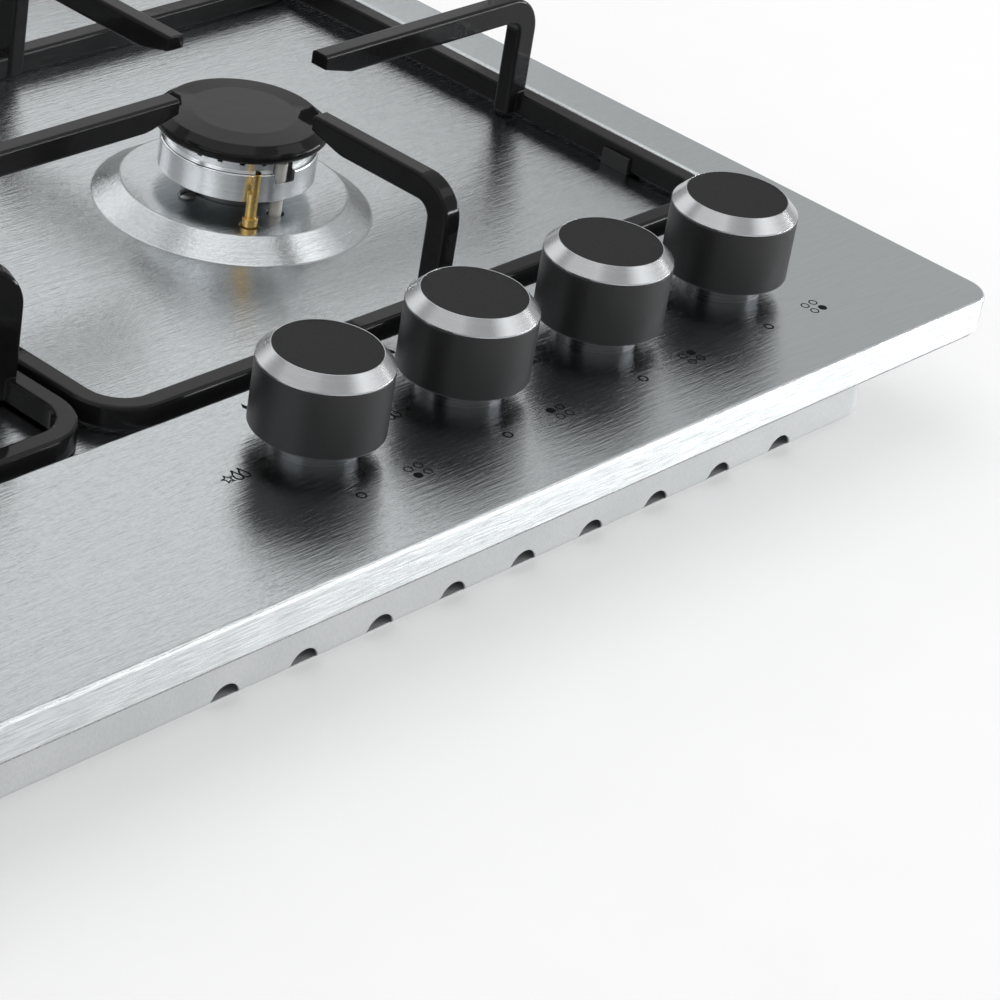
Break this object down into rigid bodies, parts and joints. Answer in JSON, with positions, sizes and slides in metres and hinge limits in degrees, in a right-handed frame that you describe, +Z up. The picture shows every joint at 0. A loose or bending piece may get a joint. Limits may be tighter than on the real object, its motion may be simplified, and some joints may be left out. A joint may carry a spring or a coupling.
{
  "type": "gas cooktop",
  "caption": "Built-in brushed steel gas cooktop with enamelled grates, round burners under black caps and a row of round knobs at the front right.",
  "frame": {"origin": "centre of the underside of the base pan", "axes": "+X to the user's right, +Y to the back, +Z up"},
  "size_m": [0.59, 0.51, 0.083],
  "materials": {
    "hob_steel": "satin, brushed from left to right",
    "pan_paint": "light grey paint on pressed sheet",
    "enamel": "black gloss enamel",
    "foot_rubber": "matte",
    "seal_foam": "closed-cell foam",
    "spring_steel": "bare spring steel",
    "zinc_screws": "zinc plated",
    "cast_alloy": "die cast, fine blasted",
    "crown_alloy": "turned and polished",
    "brass": "machined",
    "probe_metal": "machined, heat stained",
    "ceramic": null,
    "knob_black": "satin moulded",
    "knob_bright": "spun, bright",
    "knob_face": "flat dark grey",
    "bezel_steel": "bright",
    "spindle_steel": "turned",
    "tap_alloy": "die cast",
    "rail_steel": "zinc plated tube",
    "tube_alloy": "drawn",
    "switch_plastic": "ivory moulded",
    "collar_plastic": "red moulded",
    "module_plastic": "moulded",
    "lead_rubber": "silicone insulated",
    "loom_rubber": "insulated wires in a sleeve",
    "block_plastic": "moulded",
    "gland_plastic": "moulded"
  },
  "bodies": {
    "hob": {"base_pan": "pan_paint", "burner_cup_front_left": "cast_alloy", "burner_cup_front_right": "cast_alloy", "burner_cup_rear_left": "cast_alloy", "burner_cup_rear_right": "cast_alloy", "fixing_screws": "zinc_screws", "flame_probes": "probe_metal", "gas_inlet": "brass", "gas_jets": "brass", "gas_rail": "rail_steel", "gas_tap_front_left": "tap_alloy", "gas_tap_front_right": "tap_alloy", "gas_tap_rear_left": "tap_alloy", "gas_tap_rear_right": "tap_alloy", "gas_tubes": "tube_alloy", "hob_plate": "hob_steel", "ignition_switches": "switch_plastic", "ignition_unit": "module_plastic", "knob_bezels": "bezel_steel", "lead_gland": "gland_plastic", "pan_brackets": "rail_steel", "probe_leads": "probe_metal", "rim_seal": "seal_foam", "side_springs": "spring_steel", "spark_electrodes": "ceramic", "spark_leads": "lead_rubber", "switch_wiring": "loom_rubber", "terminal_block": "block_plastic"},
    "push_front_left": {"switch_collar_front_left": "collar_plastic"},
    "knob_front_left": {"knob_skirt_front_left": "knob_black", "knob_ring_front_left": "knob_bright", "knob_disc_front_left": "knob_face", "tap_spindle_front_left": "spindle_steel"},
    "crown_front_left": {"burner_crown_front_left": "crown_alloy"},
    "cap_front_left": {"burner_cap_front_left": "enamel"},
    "push_rear_left": {"switch_collar_rear_left": "collar_plastic"},
    "knob_rear_left": {"knob_skirt_rear_left": "knob_black", "knob_ring_rear_left": "knob_bright", "knob_disc_rear_left": "knob_face", "tap_spindle_rear_left": "spindle_steel"},
    "crown_rear_left": {"burner_crown_rear_left": "crown_alloy"},
    "cap_rear_left": {"burner_cap_rear_left": "enamel"},
    "push_rear_right": {"switch_collar_rear_right": "collar_plastic"},
    "knob_rear_right": {"knob_skirt_rear_right": "knob_black", "knob_ring_rear_right": "knob_bright", "knob_disc_rear_right": "knob_face", "tap_spindle_rear_right": "spindle_steel"},
    "crown_rear_right": {"burner_crown_rear_right": "crown_alloy"},
    "cap_rear_right": {"burner_cap_rear_right": "enamel"},
    "push_front_right": {"switch_collar_front_right": "collar_plastic"},
    "knob_front_right": {"knob_skirt_front_right": "knob_black", "knob_ring_front_right": "knob_bright", "knob_disc_front_right": "knob_face", "tap_spindle_front_right": "spindle_steel"},
    "crown_front_right": {"burner_crown_front_right": "crown_alloy"},
    "cap_front_right": {"burner_cap_front_right": "enamel"},
    "grate_left": {"grate_left": "enamel", "grate_feet_left": "foot_rubber"},
    "grate_right": {"grate_right": "enamel", "grate_feet_right": "foot_rubber"}
  },
  "joints": [
    {"name": "press_front_left", "type": "slide", "parent": "hob", "child": "push_front_left", "axis": [0, 0, -1], "range_m": [0, 0.003], "stiffness_N_per_m": 2000, "springref_m": -0.002},
    {"name": "turn_front_left", "type": "hinge", "parent": "push_front_left", "child": "knob_front_left", "pos_m": [0.0422, -0.202, 0.06], "axis": [0, 0, -1], "range_deg": [0, 158]},
    {"name": "lift_crown_front_left", "type": "slide", "parent": "hob", "child": "crown_front_left", "axis": [0, 0, 1], "range_m": [0, 0.05]},
    {"name": "lift_cap_front_left", "type": "slide", "parent": "crown_front_left", "child": "cap_front_left", "axis": [0, 0, 1], "range_m": [0, 0.03]},
    {"name": "press_rear_left", "type": "slide", "parent": "hob", "child": "push_rear_left", "axis": [0, 0, -1], "range_m": [0, 0.003], "stiffness_N_per_m": 2000, "springref_m": -0.002},
    {"name": "turn_rear_left", "type": "hinge", "parent": "push_rear_left", "child": "knob_rear_left", "pos_m": [0.1015, -0.202, 0.06], "axis": [0, 0, -1], "range_deg": [0, 158]},
    {"name": "lift_crown_rear_left", "type": "slide", "parent": "hob", "child": "crown_rear_left", "axis": [0, 0, 1], "range_m": [0, 0.05]},
    {"name": "lift_cap_rear_left", "type": "slide", "parent": "crown_rear_left", "child": "cap_rear_left", "axis": [0, 0, 1], "range_m": [0, 0.03]},
    {"name": "press_rear_right", "type": "slide", "parent": "hob", "child": "push_rear_right", "axis": [0, 0, -1], "range_m": [0, 0.003], "stiffness_N_per_m": 2000, "springref_m": -0.002},
    {"name": "turn_rear_right", "type": "hinge", "parent": "push_rear_right", "child": "knob_rear_right", "pos_m": [0.1608, -0.202, 0.06], "axis": [0, 0, -1], "range_deg": [0, 158]},
    {"name": "lift_crown_rear_right", "type": "slide", "parent": "hob", "child": "crown_rear_right", "axis": [0, 0, 1], "range_m": [0, 0.05]},
    {"name": "lift_cap_rear_right", "type": "slide", "parent": "crown_rear_right", "child": "cap_rear_right", "axis": [0, 0, 1], "range_m": [0, 0.03]},
    {"name": "press_front_right", "type": "slide", "parent": "hob", "child": "push_front_right", "axis": [0, 0, -1], "range_m": [0, 0.003], "stiffness_N_per_m": 2000, "springref_m": -0.002},
    {"name": "turn_front_right", "type": "hinge", "parent": "push_front_right", "child": "knob_front_right", "pos_m": [0.2201, -0.202, 0.06], "axis": [0, 0, -1], "range_deg": [0, 158]},
    {"name": "lift_crown_front_right", "type": "slide", "parent": "hob", "child": "crown_front_right", "axis": [0, 0, 1], "range_m": [0, 0.05]},
    {"name": "lift_cap_front_right", "type": "slide", "parent": "crown_front_right", "child": "cap_front_right", "axis": [0, 0, 1], "range_m": [0, 0.03]},
    {"name": "lift_grate_left", "type": "slide", "parent": "hob", "child": "grate_left", "axis": [0, 0, 1], "range_m": [0, 0.12]},
    {"name": "lift_grate_right", "type": "slide", "parent": "hob", "child": "grate_right", "axis": [0, 0, 1], "range_m": [0, 0.12]}
  ]
}
